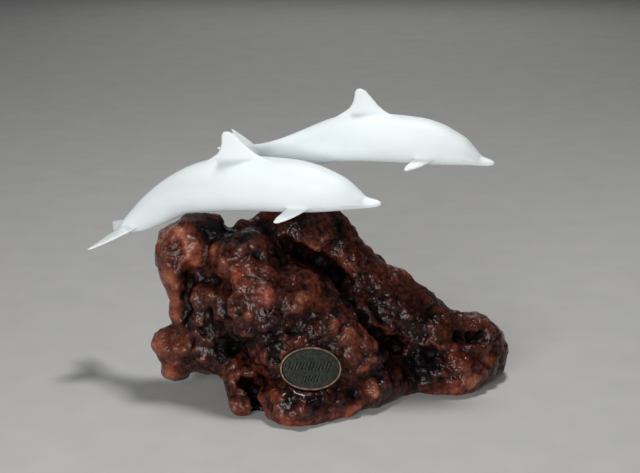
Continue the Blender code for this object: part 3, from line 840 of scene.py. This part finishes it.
# %% [markdown]
# Old bronze is nearly black where it lies low, and coppery where hands rub it. The mesh keeps how
# high each point is on the rim and how deeply it is scored, so the finish can follow the real shape,
# and a noise breaks the rubbed edge up.

# %% The finish of the plate
FIELD_DARK, FIELD_LIGHT = (0.007, 0.008, 0.007), (0.015, 0.016, 0.014)
STROKE_BLACK, RUBBED_COPPER = (0.008, 0.009, 0.009), (0.150, 0.098, 0.066)
FIELD_GRAIN, RUBBED_GRAIN, BRONZE_GRAIN = 0.0016, 0.0022, 0.0010
PITTED_GRAIN, PITTED_DEPTH = 0.0007, 0.00004

bronze, net, shader = start_finish("dark bronze")
field_colour = add_clouds(net, FIELD_GRAIN, FIELD_DARK, FIELD_LIGHT)
in_stroke = add_range(net, read_mark(net, "scored"), (0.2, 0.9), (0.0, 0.85))
scored_colour = add_blend(net, in_stroke, field_colour, STROKE_BLACK)
worn = add_range(net, add_noise(net, RUBBED_GRAIN), (0.35, 0.65), (0.35, 1.0))
rubbed = add_math(net, "MULTIPLY", read_mark(net, "rim"), worn)
feed_all(net, shader, Metallic=0.85, Specular_IOR_Level=0.2,
         Base_Color=add_blend(net, rubbed, scored_colour, RUBBED_COPPER),
         Roughness=add_mottle(net, BRONZE_GRAIN, 0.36, 0.54),
         Normal=add_bump(net, add_noise(net, PITTED_GRAIN), PITTED_DEPTH))
finish_piece(plate, bronze, "oval_plate")

# %% [markdown]
# The block of burl
#
# Burl is wood that grew in knots, a mass of lumps from the size of a pea down to a pinhead, with dark
# creases between them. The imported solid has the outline, the hollows and the largest knobs. The rest
# could be sculpted by hand. Here Voronoi cells do it: the distance to the nearest cell centre makes
# round lumps with creases where cells meet. Pushing the mesh itself, and not only the shading, lets
# the lumps show in the outline too.

# %% Remesh the wood
WOOD_GRAIN = 0.00082
WOOD_SMOOTHING = 5

wood = put_in_scene("burl_wood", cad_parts["burl_base"].data.copy())
work(wood, "REMESH", mode="VOXEL", voxel_size=WOOD_GRAIN)
smooth(wood, WOOD_SMOOTHING)
print("the wood has", len(wood.data.vertices), "points")

# %% [markdown]
# The lumps and pits that one knows this block by are placed one by one, as a carver would do it,
# looking at the block from the front. Each is given by how far across and up it is seen from the
# middle of the picture, and its radius. A ray from the camera finds its place on the skin.

# %% Place the known lumps and pits
# Lumps as (across, up, radius), in hundredths of the wood's length.
KNOWN_LUMPS = [
    (-30.1, -4, 1.9), (-22.9, -4.8, 2), (-32.9, -16.9, 3.4), (-33.9, -23.3, 2.4),
    (-24.9, -25.3, 1.8), (-14.5, -16.9, 2), (-7.2, -19.3, 2.1), (-19.3, -8.5, 2.4),
    (-13.2, -4, 1.4), (-14.8, -8.9, 1.7), (-23.7, -11.3, 2), (-20.1, -21.3, 1.8),
    (-25.3, -20.5, 1.7), (-14.8, -24.1, 2.8), (-19.1, -32.6, 1.5), (-15.3, -33.8, 1.8),
    (-21.3, -37.8, 1.6), (-16.9, -39.8, 2.4), (-32.5, -35, 1.8), (-29.3, -36.2, 1.6),
    (-39.4, -32.6, 1.8), (-1.6, -26.5, 2.4), (3.2, -25.7, 2.1), (2, -22.1, 1.9), (-2.4, -16.1, 2),
    (-1.2, -12.1, 2), (-36.2, -2.4, 2.4), (-35.3, -6.9, 2.1), (-11.6, -45.4, 2.4),
    (-4.4, -47.4, 2.4), (-41, 1.2, 2.6), (-43.4, -4.4, 2), (-4.8, -28.5, 1.9), (-23.3, -47, 2.2),
    (-27.7, -8.9, 2.6), (5.2, -0.6, 1.6), (12.2, -6.1, 1.5), (12.6, -8.9, 1.6), (12.2, -17.9, 1.6),
    (18.1, -21.8, 1.6), (19.3, -26.5, 1.8), (24, -16.7, 1.4), (25.2, -21.8, 1.6),
    (21.3, -30.5, 1.6), (26.4, -29.7, 1.8), (32.7, -26.5, 2.2), (33.8, -30.9, 2), (37.4, -34, 2),
    (46.4, -31.3, 1.6), (48, -35.6, 2.2), (38.5, -41.8, 2.6), (42.9, -40.3, 2.4),
    (40.5, -36.7, 2.2), (15, -43, 1.8), (12.2, -37.5, 1.8), (7.5, -27.7, 2.2), (9.5, -33.6, 2),
    (15, -34.4, 1.5), (18.9, -40.7, 1.9), (7.1, -49.7, 1.8), (11.1, -47.8, 1.4), (-11, -50.2, 1),
    (-8.7, -51.6, 1), (-6.2, -52.3, 1), (-3.6, -52.2, 1), (-1.2, -51.4, 1),
]
# Pits and dark gaps, given the same way.
KNOWN_PITS = [
    (-39.8, -1.2, 1.5), (-41.4, -2.8, 1.2), (-39, -4.4, 1.1), (-28.5, -12.5, 1.5), (-26, 1.6, 1.3),
    (-30.7, -20.9, 1.4), (-28.1, -24.5, 1.8), (-32.9, -26.6, 1.5), (-24.5, -31, 2.4),
    (-35.8, -29.7, 1.6), (-12.4, -34.6, 1.6), (-12.8, -32.6, 1.3), (-17.7, -5.2, 1.4),
    (-22.9, -21.7, 1.1), (-8, -26.6, 1.6), (-37.7, -16, 1.3), (12.6, -22.6, 2.2), (15, -26.5, 2.4),
    (17.3, -30.5, 2.2), (38.5, -27.6, 1.8), (42.1, -28.3, 1.8), (45, -27.4, 1.6),
    (30.3, -32.4, 2.6), (34.2, -40.7, 1.8), (9.5, -44.6, 2.6), (5.9, 3.3, 2.2), (3.6, -11.6, 3),
    (8.7, -18.7, 1.8), (5, -2, 1.2), (8, -3.2, 1.2), (-6, -4, 2.2), (-2, -7.5, 2.4),
]
# How high a lump rises and how deep a pit sinks, in radii, and how far each spreads.
LUMP_RISE, PIT_SINK, SEEN_SPREAD = 0.27, 0.34, 1.3
WARP_GRAIN, WARP_REACH = 0.0045, 0.0016

# Without a seed, the noise that moves points would be another one in each run.
NOISE_SEED = 1
noise.seed_set(NOISE_SEED)


def in_mm(values):
    """Gives the lowest, middle and highest of some lengths in millimetres."""
    return np.round(np.percentile(values, (0, 50, 100)) * 1000, 2)


wood_skin = skin_of(wood)
view_right, view_up = (camera.rotation_euler.to_matrix() @ Vector(axis)
                       for axis in ((1, 0, 0), (0, 1, 0)))


def warped(points):
    """Gives copies of the points moved a little by a noise, so that round places become uneven."""
    return np.array([Vector(point) + noise.noise_vector(Vector(point) / WARP_GRAIN) * WARP_REACH
                     for point in points])


def seen_share(points, seen):
    """Gives how far inside the seen places each point is, and the radius of the place it is in."""
    share, size = np.zeros(len(points)), np.zeros(len(points))
    for across, up, radius in seen:
        aim = target + (view_right * across + view_up * up) * BURL_LENGTH / 100
        place, _, _, _ = wood_skin.ray_cast(camera.location, (aim - camera.location).normalized())
        if place is None:
            continue
        reach = SEEN_SPREAD * radius * BURL_LENGTH / 100
        inside = np.clip(1 - (np.linalg.norm(points - np.array(place), axis=1) / reach)**2, 0, 1)
        size = np.where(inside > share, reach, size)
        share = np.maximum(share, inside)
    return share, size


points, outward = read_points(wood), read_outward(wood)
uneven = warped(points)
lump_share, lump_size = seen_share(uneven, KNOWN_LUMPS)
pit_share, pit_size = seen_share(uneven, KNOWN_PITS)
known_rise = LUMP_RISE * lump_share * lump_size - PIT_SINK * pit_share**2 * pit_size
print(len(KNOWN_LUMPS), "lumps,", len(KNOWN_PITS), "pits, heights", in_mm(known_rise), "mm")

# %% [markdown]
# Some parts of the block were sanded or worn before it was varnished: the shelf under the dolphins,
# the rib down the left side, the dark lobe beside the crown and the wood round the plate. They carry
# hardly any lumps. A few round places with soft edges say where.

# %% Mark what stays smooth
# Places that stay smooth, as (x, y, z, radius) in hundredths of the wood's length.
SMOOTH_PLACES = [
    (-16, -2, 50, 8), (-6, -4, 51, 9), (4, 2, 51, 6), (-29, -2, 50.5, 7), (-23, -4, 48, 5),
    (-43, -6, 41, 6), (-43, -6, 36, 6), (-42, -6, 31, 6), (-41, -6, 25, 6), (-40, -6, 21, 5),
    (-46, -4, 17, 7), (-43, -6, 8, 6), (-38, -4, 48, 5), (27, 1, 29, 7), (-2.5, -22, 15, 9),
]
# The share of a lump's height that is worn away there.
WORN_SHARE = 0.9


def near(points, places):
    """Gives how near each point is to the nearest of (x, y, z, radius) places, from 0 to 1."""
    nearness = np.zeros(len(points))
    for x, y, z, radius in places:
        centre = np.array(ZERO + hundredths(x, y, z))
        share = np.linalg.norm(points - centre, axis=1) / (radius * BURL_LENGTH / 100)
        nearness = np.maximum(nearness, np.clip(1 - share**2, 0, 1)**2)
    return nearness


lumpy = (1 - WORN_SHARE * near(points, SMOOTH_PLACES)) * (1 - pit_share)
print("lumps keep", round(100 * lumpy.mean()), "percent of their height on average")

# %% [markdown]
# The other lumps come in four sizes, each over cells of its own. A noise pulls the cells out of
# shape, and a slower one lets the lumps crowd in some places and thin out in others.

# %% Raise the lumps
# Each size of lump, as (width, height) in metres.
LUMP_SIZES = [(0.0105, 0.00120), (0.0062, 0.00130), (0.0036, 0.00100), (0.0023, 0.00050)]
# In widths of a lump: the pull on its cell, and the reach of its dome, its crease and its crowd.
PULL, DOME_REACH, CREASE_REACH, CROWD_WIDTH = 0.55, 0.80, 0.22, 2.5
PULL_PACE, CENTRE_SPREAD, LOWEST_DOME = 0.6, 7.0, 0.45
CROWD_MIDDLE, CROWD_SWING = 0.55, 1.6


def lump_heights(points, width):
    """Gives domes from 0 to 1 over cells of this width, and how near a crease each point is."""
    domes, creases = np.zeros(len(points)), np.zeros(len(points))
    for i, point in enumerate(points):
        place = Vector(point) / width
        place += noise.noise_vector(place * PULL_PACE) * PULL
        (nearest, second, _, _), (centre, _, _, _) = noise.voronoi(place)
        height = LOWEST_DOME + (1 - LOWEST_DOME) * abs(noise.cell(centre * CENTRE_SPREAD))
        domes[i] = height * max(0.0, 1 - (nearest / DOME_REACH)**2)
        creases[i] = 1 - min(1.0, (second - nearest) / CREASE_REACH)
    return domes, creases


def crowds(points, width, order):
    """Gives how dense the lumps are at each point, from 0 to 1. Each order has its own crowds."""
    start = Vector((order, 2 * order, 3 * order))
    return np.clip([CROWD_MIDDLE + CROWD_SWING * noise.noise(Vector(point) / width + start)
                    for point in points], 0, 1)


rise = known_rise.copy()
creased = np.zeros(len(points))
for order, (width, height) in enumerate(LUMP_SIZES):
    domes, creases = lump_heights(points, width)
    share = lumpy * crowds(points, CROWD_WIDTH * width, order)
    rise += height * (domes - domes.mean()) * share
    creased = np.maximum(creased, creases * share)
points += outward * rise[:, None]
print("all heights", in_mm(rise), "mm")

# %% [markdown]
# The lumps must not grow into the castings or the plate. Points too near another skin are moved back
# to a fine gap, which also presses a clean seat round each piece. None may go below the floor.

# %% Keep the wood clear of the other pieces
# The gap, and how far away the other skin is looked for.
WOOD_GAP, SKIN_REACH = 0.00022, 0.00488


def keep_clear(points, skin, gap):
    """Moves points that are inside another piece, or nearer than the gap, out to the gap."""
    moved = 0
    for i, point in enumerate(points):
        place, outward, _, distance = skin.find_nearest(point, SKIN_REACH)
        if place is None:
            continue
        height = (Vector(point) - place).dot(outward)
        if height < 0 or distance < gap:
            points[i] = place + outward * gap
            moved += 1
    return moved


for piece in (front_dolphin, rear_dolphin, plate):
    print(keep_clear(points, skin_of(piece), WOOD_GAP), "points moved off", piece.name)
points[:, 2] = np.maximum(points[:, 2], cad_low.z)
write_points(wood, points)

# %% [markdown]
# Colour follows the shape
#
# Creases and hollows are painted darker, which is painted shade, while the tops of the lumps stay
# red-brown and are painted lighter, which is painted light. To tell one from the other, the mesh is
# compared with smoother copies of itself: a point above the smooth copy is on a lump, one below it is
# in a hollow. A little smoothing finds the pebbles, much of it the deep folds.

# %% Measure lumps and hollows
PEBBLE_ROUNDS, FOLD_ROUNDS = 25, 500


def height_over_smooth(piece, rounds):
    """Gives how far each point stands out from a copy smoothed this many times, in metres."""
    copy = put_in_scene("smooth copy", piece.data.copy())
    smooth(copy, rounds)
    offset = ((read_points(piece) - read_points(copy)) * read_outward(copy)).sum(axis=1)
    bpy.data.objects.remove(copy, do_unlink=True)
    return offset


pebble = height_over_smooth(wood, PEBBLE_ROUNDS)
fold = height_over_smooth(wood, FOLD_ROUNDS)
print("pebbles", in_mm(pebble), "mm, folds", in_mm(fold), "mm")

# %% [markdown]
# Then come the patches that make this block this block: a red crown, an orange knob on the spur, bright
# red along the foot, near black on the dark lobe beside the crown, and near black under the shelf and
# in the long groove, which is painted shade. Each is a round place with a soft edge, given as the
# smooth places were.

# %% Mark the coloured patches
RED_PLACES = [
    (-42, -2, 48.5, 6), (-37, -6, 46.5, 5), (-35.5, -7, 41, 4.5), (-23, -13, 40.5, 4),
    (-10.6, -27, 2.5, 3), (-8.2, -27.7, 1, 3.4), (-5.4, -27.4, 0.6, 3.2), (-2.7, -27, 0.6, 3.2),
    (4, -24, 2.5, 3), (8.3, -21.6, 2, 3.4), (11.6, -19.4, 2, 3), (-18.5, -18, 19, 3),
    (-14.5, -17, 34.5, 4), (-2, -9, 36.5, 4), (12, -3, 28, 4), (39, -5, 11, 5), (38, -6.5, 2.5, 5),
    (37.5, -4.5, 14.5, 2), (-10, -26, 1.5, 3), (-5.5, -26, 0.5, 3.5), (-0.5, -25, 1.5, 3.5),
    (12.5, -18.5, 13, 3), (-42, -7, 8, 5), (-40.5, -6, 25, 4), (-17, -11, 40, 4),
    (22.5, -12, 18.5, 5.5), (-17, -18, 11, 3.5), (-11.5, -26, 9.5, 3.5), (-33, -12, 27.5, 3.5),
]
ORANGE_PLACES = [
    (-44.7, -1.5, 46.6, 6), (-42.5, -0.2, 49.2, 5), (-42.3, -6.8, 35.5, 5), (-41.4, -6, 29.3, 5),
    (-40.4, -6.5, 25, 4), (-46.7, -4.8, 16, 7), (-44, -6.5, 7, 5), (20, -3.5, 19, 2),
    (14.3, -18, 6.5, 2.6), (43, -6, 5, 4), (48.5, -1.5, 9.5, 3), (14.5, -17, 7.5, 4),
    (-29.5, -8, 44, 3.5), (-38, -5, 48, 5), (-36, -8, 44.5, 4), (-4, -16, 35.5, 2.5),
    (-36, -13, 6, 3), (-39.5, -8, 17.5, 6), (-41, -7.5, 12.5, 4.5), (-33, -8, 44, 5.5),
    (-0.5, -13.5, 32.5, 4.5), (-5, -15, 33, 3),
]
# Dimmer places: partly darker wood, and partly painted shade on the shelf under the dolphins and low on
# the feet.
DIM_AND_SHADED_PLACES = [
    (-16, -2, 50, 5), (-6, -4, 51, 7), (4, 2, 50, 4.5), (4, 0, 45.5, 4), (-9, -26, 8, 5),
    (-2, -26, 7, 5), (6, -22, 7, 6), (-20, -16, 32.5, 5), (-22, -12, 20, 7), (-14, -17, 27, 6),
    (-21, -16, 5, 7), (-25, -8, 11, 6), (41, -5, 21, 5), (-1, -24, 12, 5),
]
# Near black places: the lobe beside the crown is dark wood; the rest is painted shade in the long
# groove, the left hollow, under the shelf, under the lip and between the feet. They also thin the coat.
DARK_AND_SHADED_PLACES = [
    (-27, -10, 15, 5), (-12, -21, 21.5, 4), (-38, -8.5, 36.5, 4), (-38.5, -8.5, 26, 3.5),
    (-30, -3, 49.5, 5), (-27, -3, 49.5, 5), (-23.5, -4, 48, 4), (-20, -7, 47.5, 4),
    (-8.5, -5, 46, 3), (0.5, -4.5, 37, 5), (3.5, 0.5, 35, 5), (8, -9.5, 30.5, 4),
    (15, -11, 24, 4.5), (17.5, -14, 17.5, 4), (40, -2.5, 17.5, 4), (-19, -14.5, 4, 6),
    (-17.5, -17, 0.5, 5), (28.5, -6.5, 8.5, 8), (-12.8, -23, 17.5, 4), (44, -3, 19.5, 4),
]
# Where the varnish lies thickest and sparkles most.
GLOSSY_PLACES = [
    (-32.8, -12, 31.8, 6), (-2.2, -22, 24.8, 8), (42, -8, 16.7, 7), (-27, -4, 49.5, 5),
    (16, -10, 33, 7), (-20, -13, 42, 4), (-6, -26, 8, 5),
]

uneven = warped(points)
reds, oranges, dims_and_shade, darks_and_shade, glossy = (near(uneven, places) for places in (
    RED_PLACES, ORANGE_PLACES, DIM_AND_SHADED_PLACES, DARK_AND_SHADED_PLACES, GLOSSY_PLACES))
print("red on", round(100 * (reds > 0).mean()), "percent of the wood")

# %% [markdown]
# The finish reads four marks: how light a point is, how red, how orange, and how thick its varnish
# lies. How light a point is holds painted shade in folds, creases, pits and the dark and dim places,
# and painted light on the tops of the lumps, besides the wood's own clouds. Each is a sum of measures,
# with weights found by trying, as a dyer finds a shade.

# %% Weigh the marks for the finish
PEBBLE_HEIGHT, FOLD_HEIGHT, VARNISHED_FOLD = 0.0010, 0.004, 0.005
# The width of the slow clouds, then their roughness, the ratio of their layers, and their layers.
SLOW_CLOUDS, ROUGHNESS, RATIO, LAYERS = 0.022, 1.0, 2.0, 3


def weigh(middle, *parts):
    """Adds (weight, measure) parts to a middle value and keeps the sum from 0 to 1."""
    return np.clip(sum((weight * measure for weight, measure in parts), middle), 0, 1)


clouds = np.array([noise.fractal(Vector(point) / SLOW_CLOUDS, ROUGHNESS, RATIO, LAYERS)
                   for point in points])
# Lighter lump tops are painted light; darker folds, creases, pits and dark and dim places are partly
# painted shade; the clouds are the wood's own tone.
lightness_and_painted_shade = weigh(0.47, (0.34, np.clip(pebble / PEBBLE_HEIGHT, -1, 1)),
             (0.22, np.clip(fold / FOLD_HEIGHT, -1.2, 1)), (0.22, clouds), (-0.50, darks_and_shade),
             (-0.30, dims_and_shade), (0.12, reds), (0.24, oranges), (-0.16, creased), (-0.22, pit_share))
keep_mark(wood, "lightness_and_painted_shade", lightness_and_painted_shade)
keep_mark(wood, "red", weigh(0.0, (0.75, reds), (0.6, reds * clouds)))
keep_mark(wood, "orange", weigh(0.0, (0.8, oranges), (0.5, oranges * clouds)))
keep_mark(wood, "varnish", weigh(0.60, (1.0, fold / VARNISHED_FOLD), (0.6, glossy),
                                 (-0.5, darks_and_shade), (-0.4, pit_share)))
print("lightness_and_painted_shade", np.round(np.percentile(lightness_and_painted_shade, (5, 50, 95)), 2))

# %% [markdown]
# The varnished wood
#
# Under the varnish the wood is rough and many-coloured, and over it lies a clear glossy coat. The
# shader has a layer for just that, called coat. The fine bumps go on both, so the coat breaks into
# many small glints.

# %% The finish of the wood
WOOD_COLOURS = [(0.00, (0.0008, 0.0004, 0.0006)), (0.25, (0.0070, 0.0018, 0.0016)),
                (0.50, (0.0390, 0.0088, 0.0052)), (0.75, (0.1020, 0.0255, 0.0142)),
                (1.00, (0.2200, 0.0740, 0.0430))]
RED_COLOURS = [(0.00, (0.0080, 0.0012, 0.0010)), (0.50, (0.1000, 0.0165, 0.0085)),
               (1.00, (0.3000, 0.0750, 0.0420))]
ORANGE_COLOURS = [(0.00, (0.0120, 0.0028, 0.0013)), (0.50, (0.1450, 0.0380, 0.0190)),
                  (1.00, (0.3300, 0.1120, 0.0620))]
PEBBLE_WIDTH, GRIT_WIDTH, GRIT_SHARE = 0.0021, 0.0012, 0.4
SPECKLE_GRAIN, PATCH_GRAIN, BUMP_DEPTH = 0.0014, 0.007, 0.00042
PEBBLE_PULL, PEBBLE_PACE, PEBBLE_END = 0.35, 0.7, 0.75


def add_pebbles(tree, width):
    """Adds round domes about this many metres wide, from 1 at a dome's middle to 0 in a crease."""
    place = add_node(tree, "TexCoord").outputs["Object"]
    drift = add_node(tree, "TexNoise", Vector=place, Scale=PEBBLE_PACE / width, Detail=2.0)
    moved = add_math(tree, "MULTIPLY_ADD", drift.outputs["Color"], (PEBBLE_PULL * width,) * 3,
                     place, kind="VectorMath")
    cells = add_node(tree, "TexVoronoi", Vector=moved, Scale=1 / width)
    distance = cells.outputs["Distance"]
    return add_range(tree, add_math(tree, "MULTIPLY", distance, distance), (0.0, PEBBLE_END),
                     (1.0, 0.0))


burl, net, shader = start_finish("varnished burl wood")
lumps = add_math(net, "MULTIPLY_ADD", add_pebbles(net, GRIT_WIDTH), GRIT_SHARE,
                 add_pebbles(net, PEBBLE_WIDTH))
speckle = add_mottle(net, SPECKLE_GRAIN, -0.13, 0.13, detail=4.0)
toned_and_shaded = add_math(net, "ADD", read_mark(net, "lightness_and_painted_shade"), speckle)
# The creases of the pebbles are painted darker and their domes lighter, as painted shade and painted
# light that follow the bumps.
toned_and_shaded = add_math(net, "ADD", toned_and_shaded, add_range(net, lumps, (0.1, 1.3), (-0.12, 0.06)))
colour = add_ramp(net, toned_and_shaded, WOOD_COLOURS)
for mark, colours in (("red", RED_COLOURS), ("orange", ORANGE_COLOURS)):
    colour = add_blend(net, read_mark(net, mark), colour, add_ramp(net, toned_and_shaded, colours))
patches = add_range(net, add_noise(net, PATCH_GRAIN, detail=2.0), (0.42, 0.62), (0.35, 1.0))
fine_bumps = add_bump(net, add_math(net, "MULTIPLY", lumps, patches), BUMP_DEPTH)
feed_all(net, shader, Coat_Roughness=0.15, Coat_IOR=1.30, Specular_IOR_Level=0.05,
         Base_Color=colour, Roughness=add_mottle(net, SPECKLE_GRAIN, 0.40, 0.60),
         Coat_Weight=add_range(net, read_mark(net, "varnish"), (0.0, 1.0), (0.05, 1.0)),
         Normal=fine_bumps, Coat_Normal=fine_bumps)
finish_piece(wood, burl, "burl_base")
